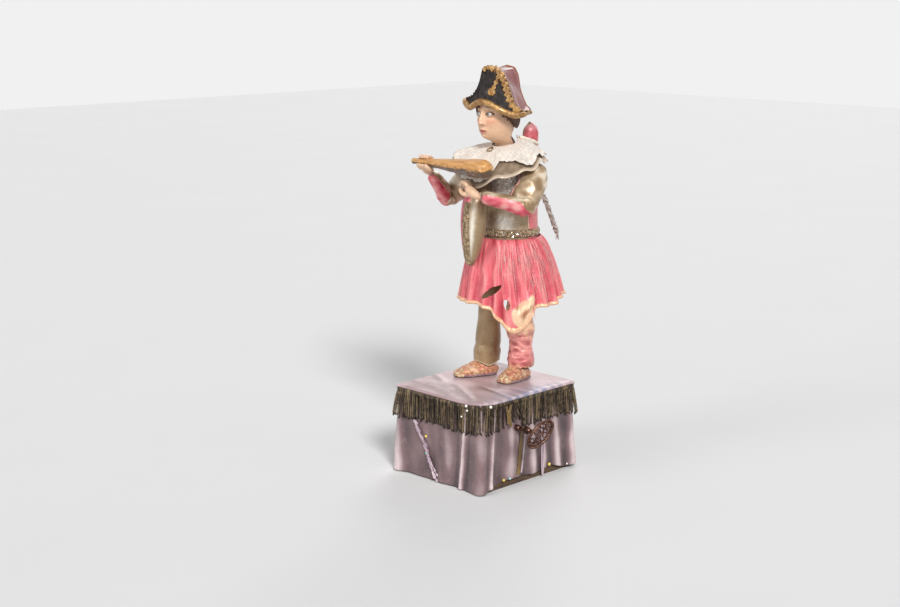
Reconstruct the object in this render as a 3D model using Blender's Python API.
# Clockwork musical automaton: a costumed figure with a club on a draped, fringed box.
# Metres, +Z up. The origin is the centre of the base's underside, and the figure faces -Y.

import math

import bmesh
import bpy
from mathutils import Matrix, Vector

MM = 0.001
GAP = 0.3 * MM

# Wooden case
CASE_X = 178 * MM
CASE_Y = 207 * MM
BOTTOM_BOARD = 8 * MM
SIDE_BOARD = 6 * MM
TOP_BOARD = 7 * MM
CASE_TOP = 138 * MM

# Cloth on the case
COVER_THICK = 3.7 * MM
COVER_OVERHANG = 4.5 * MM
DRAPE_THICK = 1.3 * MM
DRAPE_HEM = 5 * MM
DRAPE_TOP = 137 * MM
FRINGE_DROP = 47 * MM
FRINGE_THICK = 2.0 * MM
FRINGE_RIB = 1.5 * MM
FRINGE_RIBS_X = 12
FRINGE_RIBS_Y = 14

# Motor: places in the YZ plane, widths along X
BARREL_Y = -27 * MM
BARREL_Z = 92 * MM
OUTER_PLATE_X = 70 * MM
INNER_PLATE_X = 34 * MM
END_PLATE_X = -44 * MM
PLATE_THICK = 2 * MM
PLATE_TOP = 122 * MM
DRIVE_MODULE = 1.3 * MM
FAST_MODULE = 1.0 * MM
BACKLASH = 0.15 * MM
GREAT_TEETH = 40
PINION_TEETH = 10
SECOND_TEETH = 36
FLY_TEETH = 8
CAM_TEETH = 28
CYLINDER_TEETH = 35
DRIVE_GEAR_X = 40 * MM
DRIVE_GEAR_WIDTH = 3 * MM
FAST_GEAR_X = 64 * MM
FAST_GEAR_WIDTH = 1.6 * MM
PINION_ANGLE = math.radians(-65)
CAM_ANGLE = math.radians(-15)
CYLINDER_ANGLE = math.radians(-120)
FLY_ANGLE = math.radians(-60)
BARREL_RADIUS = 22 * MM
BARREL_WIDTH = 17 * MM
BARREL_WALL = 1.4 * MM
ARBOR_RADIUS = 2.6 * MM
THIN_SHAFT = 1.2 * MM
CAM_SHAFT_RADIUS = 1.7 * MM
SHAFT_CLEARANCE = 0.3 * MM
PILLAR_RADIUS = 3 * MM
SPRING_TURNS = 3
SPRING_STRIP = 0.6 * MM
FLY_SPAN = 13 * MM
FLY_BLADE = 0.9 * MM

# Music work
CYLINDER_RADIUS = 9 * MM
CYLINDER_LENGTH = 60 * MM
CYLINDER_START = -33 * MM
COMB_TEETH = 14
COMB_TIP_GAP = 0.6 * MM
COMB_LENGTH = 27 * MM
COMB_THICK = 1.4 * MM

# Winding key
KEY_COLLAR = 5 * MM
KEY_SQUARE = 3.6 * MM
KEY_SHANK = 3.4 * MM
KEY_COLLAR_START = 83.5 * MM
BOW_CENTRE_X = 142 * MM
BOW_LONG = 29 * MM
BOW_SHORT = 18 * MM
BOW_THICK = 3.4 * MM
BOW_TILT = math.radians(38)
WALL_HOLE = 7 * MM

# Levers, rods and cranks
LEVER_Y = 86 * MM
LEVER_Z = 91 * MM
LEVER_SHAFT_RADIUS = 1.8 * MM
LEVER_THICK = 2 * MM
LEVER_BOSS = 4.2 * MM
NOSE_RADIUS = 2.6 * MM
CAM_RADIUS = 13 * MM
CAM_WIDTH = 3 * MM
PIN_RADIUS = 1.2 * MM
RATCHET_RADIUS = 7.2 * MM
CLICK_SEAT = math.radians(22.5)
EYE_BORE = 2.2 * MM
EYE_RIM = 1.3 * MM
EYE_THICK = 1.6 * MM
ROD_RADIUS = 1.0 * MM
ROD_OFFSET = 2.5 * MM
ARM_CRANK = 10 * MM
RIGHT_ROD_X = -28 * MM
LEFT_ROD_X = 24 * MM
HEAD_ROD_X = 14 * MM
BACK_ROD_Y = 60 * MM
RIGHT_LIFT = math.radians(22)
LEFT_LIFT = math.radians(4)
LEFT_DROP = math.radians(8)
NOD_BACK = math.radians(3)
NOD_FORWARD = math.radians(6)

# Body
BODY_X = -2 * MM
BODY_Y = 52 * MM
SHOULDER_Y = 50 * MM
SHOULDER_Z = 475 * MM
AXLE_RADIUS = 2.0 * MM
NECK_X = -4 * MM
NECK_Y = 44 * MM
NECK_PIVOT_Z = 492 * MM
NECK_RADIUS = 14 * MM
TORSO_BOTTOM = 327 * MM
WELL_WALL = 2 * MM

# Legs
LEG_TUBE_RADIUS = 10 * MM
LEG_TUBE_WALL = 1.4 * MM
RIGHT_LEG = Vector((-33 * MM, 42 * MM, 0))
LEFT_LEG = Vector((20 * MM, 58.5 * MM, 0))
TROUSER_BOTTOM = 164 * MM
TROUSER_TOP = 322 * MM

# Skirt
SKIRT_TOP = 373 * MM
SKIRT_HEM = 277 * MM
SKIRT_TOP_RADIUS = 50 * MM
SKIRT_HEM_RADIUS = 87 * MM
SKIRT_THICK = 1.6 * MM
SKIRT_PLEATS = 21
SKIRT_SWING = 5 * MM

# Collars
COLLAR_INNER = 19 * MM
LACE_RADIUS = 73 * MM
CAPE_RADIUS = 77 * MM
CAPE_BELOW = 2.3 * MM
CAPE_DROOP = 2.6 * MM
COLLAR_TOP = 518 * MM
COLLAR_FRONT_DIP = 4 * MM
COLLAR_BACK_RISE = 12 * MM
COLLAR_SIDE_DROP = 18 * MM
COLLAR_FRONT_DROP = 42 * MM
COLLAR_BACK_DROP = 34 * MM
COLLAR_FLUTE = 2.4 * MM
COLLAR_THICK = 1.2 * MM
COLLAR_WAVES = 12
COLLAR_BACK_GAP = math.radians(21)

# Head and hat
HEAD_X = -4 * MM
EYE_RADIUS = 4.6 * MM
EYE_Y = -0.8 * MM
EYE_Z = 566 * MM
EYE_SPACING = 11 * MM
WIG_INNER = 0.4 * MM
WIG_OUTER = 5 * MM
HAT_HALF = 56 * MM
HAT_Y = 30 * MM
HAT_FRONT = 43 * MM
HAT_BACK = 40 * MM
HAT_TURN = math.radians(18)

# Trim cord
CORD_TOP = 441 * MM
CORD_RADIUS = 4.2 * MM

# Club
CLUB_Y = -55 * MM
CLUB_Z = SHOULDER_Z + 15 * MM
CLUB_TIP = -110 * MM
CLUB_END = 59 * MM
FIST_X = -81 * MM
FIST_LENGTH = 22 * MM

TURN = 2 * math.pi


# Materials

def finish(name, colour, roughness, metallic=0.0):
    material = bpy.data.materials.new(name)
    material.use_nodes = True
    shader = material.node_tree.nodes["Principled BSDF"]
    shader.inputs["Base Color"].default_value = (*colour, 1.0)
    shader.inputs["Roughness"].default_value = roughness
    shader.inputs["Metallic"].default_value = metallic
    return material


COLOURS = {
    "pine": ((0.33, 0.20, 0.11), 0.7, 0.0),
    "dark_wood": ((0.10, 0.06, 0.04), 0.65, 0.0),
    "mauve_silk": ((0.38, 0.27, 0.32), 0.42, 0.0),
    "bullion": ((0.24, 0.19, 0.08), 0.5, 0.3),
    "brass": ((0.72, 0.53, 0.22), 0.32, 0.9),
    "steel": ((0.46, 0.47, 0.50), 0.3, 0.9),
    "bronze": ((0.12, 0.045, 0.03), 0.4, 0.7),
    "gold_satin": ((0.36, 0.27, 0.15), 0.35, 0.15),
    "pink_satin": ((0.72, 0.11, 0.16), 0.38, 0.0),
    "peach_satin": ((0.80, 0.28, 0.20), 0.4, 0.0),
    "brocade": ((0.62, 0.34, 0.18), 0.6, 0.1),
    "gilt_braid": ((0.35, 0.27, 0.14), 0.55, 0.4),
    "lace": ((0.80, 0.72, 0.62), 0.8, 0.0),
    "composition": ((0.78, 0.54, 0.38), 0.45, 0.0),
    "glass_eye": ((0.30, 0.40, 0.42), 0.1, 0.0),
    "hair": ((0.13, 0.06, 0.03), 0.7, 0.0),
    "felt": ((0.07, 0.07, 0.09), 0.8, 0.0),
    "club_wood": ((0.55, 0.25, 0.06), 0.4, 0.0),
    "crimped_cord": ((0.20, 0.16, 0.14), 0.7, 0.0),
}


# Building blocks

def publish(name, mesh_data, colour, origin=(0, 0, 0), sharp=35):
    """Turns a bmesh drawn in world places into an object with its origin on its axis."""
    bmesh.ops.recalc_face_normals(mesh_data, faces=mesh_data.faces)
    origin = Vector(origin)
    bmesh.ops.translate(mesh_data, verts=mesh_data.verts, vec=-origin)
    mesh = bpy.data.meshes.new(name)
    mesh_data.to_mesh(mesh)
    mesh_data.free()
    mesh.shade_smooth()
    mesh.set_sharp_from_angle(angle=math.radians(sharp))
    mesh.materials.append(finish(name, *COLOURS[colour]))
    thing = bpy.data.objects.new(name, mesh)
    thing.location = origin
    bpy.context.scene.collection.objects.link(thing)
    return thing


def combine(target, tool, operation):
    tool.hide_render = True
    tool.display_type = 'WIRE'
    change = target.modifiers.new(tool.name, 'BOOLEAN')
    change.operation = operation
    change.solver = 'EXACT'
    change.object = tool


def cut(target, tool):
    combine(target, tool, 'DIFFERENCE')


def join(target, tool):
    combine(target, tool, 'UNION')


def loft(rings, ring_of_rings=False):
    """Skins equal rings of points. A ring of rings closes on itself, like a tyre."""
    skin = bmesh.new()
    rows = [[skin.verts.new(point) for point in ring] for ring in rings]
    count = len(rows[0])
    pairs = list(zip(rows, rows[1:]))
    if ring_of_rings:
        pairs.append((rows[-1], rows[0]))
    for low, high in pairs:
        for i in range(count):
            j = (i + 1) % count
            skin.faces.new((low[i], low[j], high[j], high[i]))
    if not ring_of_rings:
        for row in (rows[0], rows[-1]):
            middle = sum((vert.co for vert in row), Vector()) / count
            hub = skin.verts.new(middle)
            for i in range(count):
                skin.faces.new((row[i], row[(i + 1) % count], hub))
    return skin


def block(low, high):
    low = Vector(low)
    high = Vector(high)
    size = high - low
    place = Matrix.Translation((low + high) / 2) @ Matrix.Diagonal((*size, 1))
    cube = bmesh.new()
    bmesh.ops.create_cube(cube, size=1, matrix=place)
    return cube


def cylinder(start, end, radius, sides=16, end_radius=None):
    start = Vector(start)
    end = Vector(end)
    axis = end - start
    turn = axis.to_track_quat('Z', 'Y').to_matrix().to_4x4()
    drum = bmesh.new()
    bmesh.ops.create_cone(
        drum, cap_ends=True, segments=sides,
        radius1=radius, radius2=radius if end_radius is None else end_radius,
        depth=axis.length, matrix=Matrix.Translation((start + end) / 2) @ turn)
    return drum


def prism(outline, start_x, end_x):
    """Extrudes an outline of (y, z) points along X."""
    solid = bmesh.new()
    verts = [solid.verts.new((start_x, y, z)) for y, z in outline]
    face = solid.faces.new(verts)
    made = bmesh.ops.extrude_face_region(solid, geom=[face])
    moved = [item for item in made["geom"] if isinstance(item, bmesh.types.BMVert)]
    bmesh.ops.translate(solid, verts=moved, vec=(end_x - start_x, 0, 0))
    return solid


def shaft(name, start_x, end_x, y, z, radius, colour, sides=12):
    drum = cylinder((start_x, y, z), (end_x, y, z), radius, sides)
    return publish(name, drum, colour, (start_x, y, z))


def bore_x(target, start_x, end_x, y, z, radius, sides=12):
    name = f"{target.name} bore {len(target.modifiers)}"
    cut(target, shaft(name, start_x, end_x, y, z, radius, "steel", sides))


def bore_z(target, x, y, low, high, radius, sides=12):
    name = f"{target.name} bore {len(target.modifiers)}"
    cut(target, publish(name, cylinder((x, y, low), (x, y, high), radius, sides), "steel"))


def slot(target, low, high):
    name = f"{target.name} slot {len(target.modifiers)}"
    cut(target, publish(name, block(low, high), "steel"))


def smooth_path(points, steps):
    """A smooth curve through the points, as rows of numbers of any length."""
    rows = []
    last = len(points) - 1
    for k in range(last):
        before = points[max(k - 1, 0)]
        here = points[k]
        after = points[k + 1]
        beyond = points[min(k + 2, last)]
        for step in range(steps):
            t = step / steps
            row = []
            for a, b, c, d in zip(before, here, after, beyond):
                row.append(0.5 * (2 * b + (c - a) * t + (2 * a - 5 * b + 4 * c - d) * t * t
                                  + (3 * b - a - 3 * c + d) * t ** 3))
            rows.append(row)
    rows.append(list(points[-1]))
    return rows


def sweep(stations, sides, steps=3, flat=1.0, lobes=0.0):
    """A limb through stations of (x, y, z, radius), all in metres, with round sections."""
    rows = smooth_path(stations, steps)
    centres = [Vector(row[:3]) for row in rows]
    rings = []
    side = None
    for k, row in enumerate(rows):
        ahead = centres[min(k + 1, len(rows) - 1)] - centres[max(k - 1, 0)]
        ahead.normalize()
        if side is None:
            side = ahead.cross(Vector((0.31, 0.21, 0.93)))
        side = (side - ahead * side.dot(ahead)).normalized()
        other = ahead.cross(side)
        ring = []
        for i in range(sides):
            angle = TURN * i / sides
            radius = row[3] * (1 + lobes * math.sin(3 * angle + 2.1 * k))
            ring.append(centres[k] + side * radius * math.cos(angle)
                        + other * radius * flat * math.sin(angle))
        rings.append(ring)
    return loft(rings)


def gear_outline(teeth, module, phase, y, z):
    """Straight-sided teeth, the width at the root, the tip and between from one pitch."""
    pitch_radius = teeth * module / 2
    root = pitch_radius - 1.35 * module
    tip = pitch_radius + 0.7 * module
    half_pitch = math.pi / teeth
    outline = []
    for k in range(teeth):
        centre = phase + 2 * half_pitch * k
        for share, radius in ((-0.18, tip), (0.18, tip), (1.0, root)):
            angle = centre + share * half_pitch
            outline.append((y + radius * math.cos(angle), z + radius * math.sin(angle)))
    return outline


def meshed_phase(angle, teeth_from, phase_from, teeth_to):
    """The phase that puts a gap of the second wheel over the first wheel's tooth."""
    pitch_from = TURN / teeth_from
    pitch_to = TURN / teeth_to
    place = ((angle - phase_from) / pitch_from) % 1.0
    return angle + math.pi - (0.5 - place) * pitch_to


def beside(y, z, teeth_a, teeth_b, module, angle):
    reach = (teeth_a + teeth_b) * module / 2 + BACKLASH
    return y + reach * math.cos(angle), z + reach * math.sin(angle)


# Places that several pieces share

PINION_Y, PINION_Z = beside(BARREL_Y, BARREL_Z, GREAT_TEETH, PINION_TEETH,
                            DRIVE_MODULE, PINION_ANGLE)
CAM_Y, CAM_Z = beside(BARREL_Y, BARREL_Z, GREAT_TEETH, CAM_TEETH, DRIVE_MODULE, CAM_ANGLE)
CYLINDER_Y, CYLINDER_Z = beside(BARREL_Y, BARREL_Z, GREAT_TEETH, CYLINDER_TEETH,
                                DRIVE_MODULE, CYLINDER_ANGLE)
FLY_Y, FLY_Z = beside(PINION_Y, PINION_Z, SECOND_TEETH, FLY_TEETH, FAST_MODULE, FLY_ANGLE)
PINION_PHASE = meshed_phase(PINION_ANGLE, GREAT_TEETH, 0, PINION_TEETH)
CAM_PHASE = meshed_phase(CAM_ANGLE, GREAT_TEETH, 0, CAM_TEETH)
CYLINDER_PHASE = meshed_phase(CYLINDER_ANGLE, GREAT_TEETH, 0, CYLINDER_TEETH)
FLY_PHASE = meshed_phase(FLY_ANGLE, SECOND_TEETH, 0, FLY_TEETH)
CASE_UNDER_TOP = CASE_TOP - TOP_BOARD - GAP
CASE_FLOOR = BOTTOM_BOARD + GAP
COVER_LOW = CASE_TOP + GAP
COVER_HIGH = COVER_LOW + COVER_THICK
SHOE_LOW = COVER_HIGH + GAP
NOSE_UNDER = CAM_Z + CAM_RADIUS + GAP
LEVER_REACH = LEVER_Y - CAM_Y
RIGHT_TILT = RIGHT_LIFT / 2
RIGHT_ROD_Y = SHOULDER_Y - ARM_CRANK * math.cos(RIGHT_TILT)
RIGHT_CRANK_Z = SHOULDER_Z - ARM_CRANK * math.sin(RIGHT_TILT)
NOD_CRANK = BACK_ROD_Y - NECK_Y


# Case

def make_case():
    half_x = CASE_X / 2
    half_y = CASE_Y / 2
    inner_x = half_x - SIDE_BOARD
    inner_y = half_y - SIDE_BOARD
    publish("case_bottom", block((-half_x, -half_y, 0), (half_x, half_y, BOTTOM_BOARD)), "pine")
    top = publish("case_top", block((-half_x, -half_y, CASE_TOP - TOP_BOARD),
                                    (half_x, half_y, CASE_TOP)), "pine")
    bore_z(top, RIGHT_ROD_X, RIGHT_ROD_Y, CASE_TOP - 2 * TOP_BOARD, CASE_TOP * 1.1, 3 * MM, 12)
    bore_z(top, HEAD_ROD_X, BACK_ROD_Y, CASE_TOP - 2 * TOP_BOARD, CASE_TOP * 1.1, 3 * MM, 12)
    bore_z(top, LEFT_ROD_X, BACK_ROD_Y, CASE_TOP - 2 * TOP_BOARD, CASE_TOP * 1.1, 3 * MM, 12)
    publish("case_front", block((-half_x, -half_y, CASE_FLOOR),
                                (half_x, -inner_y, CASE_UNDER_TOP)), "pine")
    publish("case_back", block((-half_x, inner_y, CASE_FLOOR),
                               (half_x, half_y, CASE_UNDER_TOP)), "pine")
    key_side = publish("case_key_side", block((inner_x, -inner_y + GAP, CASE_FLOOR),
                                              (half_x, inner_y - GAP, CASE_UNDER_TOP)), "pine")
    bore_x(key_side, inner_x - SIDE_BOARD, half_x + SIDE_BOARD, BARREL_Y, BARREL_Z, WALL_HOLE)
    lever_side = publish("case_lever_side", block((-half_x, -inner_y + GAP, CASE_FLOOR),
                                                  (-inner_x, inner_y - GAP, CASE_UNDER_TOP)), "pine")
    return lever_side


# Cloth on the case

def wall_ring(offset, height, counts=(FRINGE_RIBS_X, FRINGE_RIBS_Y), per_rib=2):
    """Points round the case, each pushed out by offset(face, along, index)."""
    half_x = CASE_X / 2
    half_y = CASE_Y / 2
    faces = (
        ("front", (-half_x, -half_y), (half_x, -half_y), (0, -1), counts[0]),
        ("key", (half_x, -half_y), (half_x, half_y), (1, 0), counts[1]),
        ("back", (half_x, half_y), (-half_x, half_y), (0, 1), counts[0]),
        ("lever", (-half_x, half_y), (-half_x, -half_y), (-1, 0), counts[1]),
    )
    ring = []
    for name, start, end, out, ribs in faces:
        points = ribs * per_rib
        following = (-out[1], out[0])
        before = (out[1], -out[0])
        for i in range(points):
            share = i / points
            push = offset(name, share, i)
            # A corner point is pushed along both of its faces.
            side = push if i == 0 else 0.0
            x = start[0] + (end[0] - start[0]) * share + out[0] * push + before[0] * side
            y = start[1] + (end[1] - start[1]) * share + out[1] * push + before[1] * side
            ring.append(Vector((x, y, height)))
    return ring


# Main folds of the side drape: face, place along it, height and half-width as a share.
DRAPE_FOLDS = (
    ("front", 0.20, 2.4 * MM, 0.07), ("front", 0.34, 3.0 * MM, 0.03),
    ("front", 0.68, 3.2 * MM, 0.05), ("front", 0.86, 4.0 * MM, 0.05),
    ("key", 0.07, 4.2 * MM, 0.045), ("key", 0.24, 3.4 * MM, 0.04),
    ("key", 0.40, 3.0 * MM, 0.03), ("key", 0.58, 2.2 * MM, 0.05),
    ("key", 0.90, 4.6 * MM, 0.06), ("back", 0.15, 2.6 * MM, 0.05),
    ("back", 0.45, 2.2 * MM, 0.06), ("back", 0.76, 2.8 * MM, 0.05),
    ("lever", 0.12, 2.6 * MM, 0.05), ("lever", 0.38, 2.0 * MM, 0.06),
    ("lever", 0.63, 2.6 * MM, 0.05), ("lever", 0.88, 2.4 * MM, 0.04),
)


def drape_fold(face, share, depth):
    """How far a fold stands out of the cloth, growing from the top down to the hem."""
    out = 0.0
    for fold_face, place, height, width in DRAPE_FOLDS:
        if fold_face == face:
            out += height * math.exp(-((share - place) / width) ** 2)
    return out * depth


def make_drape():
    counts = (10, 11)
    levels = (0.0, 0.22, 0.45, 0.62, 1.0)
    rings = []
    for level in levels:
        height = DRAPE_HEM + (DRAPE_TOP - DRAPE_HEM) * level
        grown = max(0.0, 1 - level / 0.62)

        def outside(face, share, index):
            return GAP + DRAPE_THICK + drape_fold(face, share, grown)
        rings.append(wall_ring(outside, height, counts))

    def inside(face, share, index):
        return GAP
    rings.append(wall_ring(inside, DRAPE_TOP, counts))
    rings.append(wall_ring(inside, DRAPE_HEM, counts))
    drape = publish("side_drape", loft(rings, True), "mauve_silk", sharp=60)
    bore_x(drape, CASE_X / 2 - SIDE_BOARD, CASE_X / 2 + 3 * SIDE_BOARD, BARREL_Y, BARREL_Z,
           WALL_HOLE)


def make_cover():
    spread = COVER_OVERHANG
    layers = ((COVER_LOW, spread - 1.0 * MM), (COVER_LOW + 1.2 * MM, spread),
              (COVER_HIGH - 1.2 * MM, spread), (COVER_HIGH, spread - 1.6 * MM))
    rings = []
    for height, push in layers:
        rings.append(wall_ring(lambda face, share, index: push, height, (2, 2)))
    cover = publish("top_cover", loft(rings), "mauve_silk")
    for leg in (RIGHT_LEG, LEFT_LEG):
        bore_z(cover, leg.x, leg.y, COVER_LOW - MM, COVER_HIGH + MM, LEG_TUBE_RADIUS + GAP, 16)


def fringe_lift(face, share):
    """The strands are swept aside over the key's shank."""
    along = -CASE_Y / 2 + CASE_Y * share
    if face != "key":
        return 0.0
    return 16 * MM * math.exp(-((along - BARREL_Y) / (13 * MM)) ** 2)


def make_fringe():
    inner = GAP + DRAPE_THICK + GAP
    top = COVER_LOW - GAP
    low = top - FRINGE_DROP

    def ribbed(face, share, index):
        return inner + FRINGE_THICK + (FRINGE_RIB if index % 2 else 0.0)

    def heading(face, share, index):
        return inner + FRINGE_THICK

    def inside(face, share, index):
        return inner
    hem = wall_ring(ribbed, low)
    hem_inner = wall_ring(inside, low)
    faces = ("front", "key", "back", "lever")
    spots = []
    for name, ribs in zip(faces, (FRINGE_RIBS_X, FRINGE_RIBS_Y, FRINGE_RIBS_X, FRINGE_RIBS_Y)):
        spots += [(name, i / (2 * ribs), i) for i in range(2 * ribs)]
    for k, (name, share, index) in enumerate(spots):
        lift = fringe_lift(name, share)
        tip = 0.0 if index % 2 else 2.2 * MM
        hem[k].z += lift + tip
        hem_inner[k].z += lift + 2.2 * MM
    rings = [hem, wall_ring(ribbed, top - 8 * MM), wall_ring(heading, top),
             wall_ring(inside, top), hem_inner]
    publish("fringe", loft(rings, True), "bullion", sharp=20)


# Motor

def plate(name, x, low_y, high_y, high_z, colour="brass"):
    corner = 9 * MM
    outline = ((low_y, CASE_FLOOR), (high_y, CASE_FLOOR), (high_y, high_z - corner),
               (high_y - corner, high_z), (low_y + corner, high_z), (low_y, high_z - corner))
    return publish(name, prism(outline, x, x + PLATE_THICK), colour)


def make_plates():
    pillars = ((-54 * MM, 16 * MM), (28 * MM, 16 * MM), (-54 * MM, 114 * MM), (28 * MM, 112 * MM))
    inner = plate("inner_plate", INNER_PLATE_X, -76 * MM, 94 * MM, PLATE_TOP)
    for number, (y, z) in enumerate(pillars):
        join(inner, shaft(f"pillar {number}", INNER_PLATE_X + PLATE_THICK / 2,
                          OUTER_PLATE_X - GAP, y, z, PILLAR_RADIUS, "brass", 8))
    outer = plate("outer_plate", OUTER_PLATE_X, -62 * MM, 36 * MM, PLATE_TOP)
    end = plate("end_plate", END_PLATE_X, -70 * MM, 94 * MM, 112 * MM)
    clear = SHAFT_CLEARANCE
    for metal in (inner, outer):
        start = (INNER_PLATE_X if metal is inner else OUTER_PLATE_X) - PLATE_THICK
        stop = start + 3 * PLATE_THICK
        bore_x(metal, start, stop, BARREL_Y, BARREL_Z, ARBOR_RADIUS + clear)
        bore_x(metal, start, stop, PINION_Y, PINION_Z, THIN_SHAFT + clear, 12)
        bore_x(metal, start, stop, FLY_Y, FLY_Z, THIN_SHAFT + clear, 12)
        bore_x(metal, start, stop, CAM_Y, CAM_Z, CAM_SHAFT_RADIUS + clear, 12)
    for metal, x in ((inner, INNER_PLATE_X), (end, END_PLATE_X)):
        bore_x(metal, x - PLATE_THICK, x + 2 * PLATE_THICK, CYLINDER_Y, CYLINDER_Z,
               CAM_SHAFT_RADIUS + clear, 12)
        bore_x(metal, x - PLATE_THICK, x + 2 * PLATE_THICK, LEVER_Y, LEVER_Z,
               LEVER_SHAFT_RADIUS + clear, 12)
    bore_x(end, END_PLATE_X - PLATE_THICK, END_PLATE_X + 2 * PLATE_THICK, CAM_Y, CAM_Z,
           CAM_SHAFT_RADIUS + clear, 12)


def wheel(name, teeth, module, phase, y, z, x, width, colour):
    outline = gear_outline(teeth, module, phase, y, z)
    return publish(name, prism(outline, x, x + width), colour, (x, y, z), 20)


def make_barrel():
    back = DRIVE_GEAR_X + DRIVE_GEAR_WIDTH
    barrel = wheel("spring_barrel", GREAT_TEETH, DRIVE_MODULE, 0, BARREL_Y, BARREL_Z,
                   DRIVE_GEAR_X, DRIVE_GEAR_WIDTH, "brass")
    join(barrel, shaft("barrel drum", back - DRIVE_GEAR_WIDTH / 2, back + BARREL_WIDTH,
                       BARREL_Y, BARREL_Z, BARREL_RADIUS, "brass", 24))
    bore_x(barrel, back, back + 2 * BARREL_WIDTH, BARREL_Y, BARREL_Z,
           BARREL_RADIUS - BARREL_WALL, 24)
    bore_x(barrel, DRIVE_GEAR_X - MM, back + MM, BARREL_Y, BARREL_Z,
           ARBOR_RADIUS + SHAFT_CLEARANCE)
    cap_x = back + BARREL_WIDTH + GAP
    cap = shaft("barrel_cap", cap_x, cap_x + 1.4 * MM, BARREL_Y, BARREL_Z, BARREL_RADIUS,
                "brass", 24)
    bore_x(cap, cap_x - MM, cap_x + 3 * MM, BARREL_Y, BARREL_Z, ARBOR_RADIUS + SHAFT_CLEARANCE)
    make_mainspring(back + MM, back + BARREL_WIDTH - MM)


def make_mainspring(start_x, end_x):
    """A strip wound from the arbor out to the drum's wall."""
    first = ARBOR_RADIUS + 0.8 * MM
    last = BARREL_RADIUS - BARREL_WALL - SPRING_STRIP - 0.4 * MM
    steps = SPRING_TURNS * 10
    rings = []
    for step in range(steps + 1):
        angle = TURN * SPRING_TURNS * step / steps
        radius = first + (last - first) * step / steps
        ring = []
        for reach, x in ((radius, start_x), (radius + SPRING_STRIP, start_x),
                         (radius + SPRING_STRIP, end_x), (radius, end_x)):
            ring.append((x, BARREL_Y + reach * math.cos(angle), BARREL_Z + reach * math.sin(angle)))
        rings.append([Vector(point) for point in ring])
    pitch = (last - first) / SPRING_TURNS
    print(f"mainspring: gap between turns {(pitch - SPRING_STRIP) / MM:.2f} mm")
    publish("mainspring", loft(rings), "steel")


def make_arbor_and_key():
    end_square = KEY_COLLAR_START + 12 * MM
    arbor = shaft("winding_arbor", INNER_PLATE_X - MM, OUTER_PLATE_X + 9 * MM,
                  BARREL_Y, BARREL_Z, ARBOR_RADIUS, "steel")
    half = KEY_SQUARE / 2
    square = block((OUTER_PLATE_X + 8 * MM, BARREL_Y - half, BARREL_Z - half),
                   (end_square, BARREL_Y + half, BARREL_Z + half))
    join(arbor, publish("arbor square", square, "steel"))
    teeth = 16
    outline = []
    for k in range(teeth):
        for share, radius in ((0.0, RATCHET_RADIUS), (0.06, RATCHET_RADIUS - 1.2 * MM)):
            angle = TURN * (k + share) / teeth
            outline.append((BARREL_Y + radius * math.cos(angle), BARREL_Z + radius * math.sin(angle)))
    ratchet_x = OUTER_PLATE_X + PLATE_THICK + 0.6 * MM
    join(arbor, publish("ratchet", prism(outline, ratchet_x, ratchet_x + 2.4 * MM), "steel"))
    make_click(ratchet_x)
    collar_end = BOW_CENTRE_X - BOW_SHORT + 2 * MM
    key = shaft("winding_key", KEY_COLLAR_START, KEY_COLLAR_START + 16 * MM,
                BARREL_Y, BARREL_Z, KEY_COLLAR, "bronze")
    join(key, shaft("key shank", KEY_COLLAR_START + 14 * MM, collar_end, BARREL_Y, BARREL_Z,
                    KEY_SHANK, "bronze", 12))
    join(key, make_bow())
    slot(key, (KEY_COLLAR_START - MM, BARREL_Y - half - GAP, BARREL_Z - half - GAP),
         (end_square + GAP, BARREL_Y + half + GAP, BARREL_Z + half + GAP))


def make_click(ratchet_x):
    """A pawl on the outer plate that rests on the ratchet's tooth tips."""
    pivot_y = BARREL_Y + 17 * MM
    pivot_z = BARREL_Z + 13 * MM
    reach = RATCHET_RADIUS + GAP
    tip = Vector((0, BARREL_Y + reach * math.sin(CLICK_SEAT), BARREL_Z + reach * math.cos(CLICK_SEAT)))
    outline = ((tip.y, tip.z), (pivot_y - 1 * MM, pivot_z - 3 * MM), (pivot_y + 2.6 * MM, pivot_z),
               (pivot_y, pivot_z + 2.8 * MM), (tip.y + 2 * MM, tip.z + 4 * MM))
    click = publish("click", prism(outline, ratchet_x, ratchet_x + 2 * MM), "steel",
                    (ratchet_x, pivot_y, pivot_z))
    join(click, shaft("click pin", OUTER_PLATE_X + PLATE_THICK + GAP, ratchet_x + 2.6 * MM,
                      pivot_y, pivot_z, 1.5 * MM, "steel", 10))


def bow_place(long_side, short_side, thick_side):
    """A place on the key's bow: along its long axis, along X and through its thickness."""
    return Vector((BOW_CENTRE_X + short_side,
                   BARREL_Y + long_side * math.cos(BOW_TILT) - thick_side * math.sin(BOW_TILT),
                   BARREL_Z + long_side * math.sin(BOW_TILT) + thick_side * math.cos(BOW_TILT)))


def bow_disc(name, long_at, short_at, long_radius, short_radius, thick, sides):
    rings = []
    for side in (-0.5, 0.5):
        ring = []
        for i in range(sides):
            angle = TURN * i / sides
            ring.append(bow_place(long_at + long_radius * math.cos(angle),
                                  short_at + short_radius * math.sin(angle), side * thick))
        rings.append(ring)
    return publish(name, loft(rings), "bronze", sharp=40)


def make_bow():
    bow = bow_disc("key bow", 0, 0, BOW_LONG, BOW_SHORT, BOW_THICK, 28)
    for side in (-1, 1):
        openings = ((16.5, 7.2, 5.6, 4.2), (16.5, -7.2, 5.6, 4.2), (5.2, 10.2, 3.2, 3.6),
                    (5.2, -9.6, 2.6, 3.0))
        for number, (long_at, short_at, long_radius, short_radius) in enumerate(openings):
            cut(bow, bow_disc(f"bow opening {side} {number}", side * long_at * MM, short_at * MM,
                              long_radius * MM, short_radius * MM, 3 * BOW_THICK, 10))
    return bow


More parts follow.
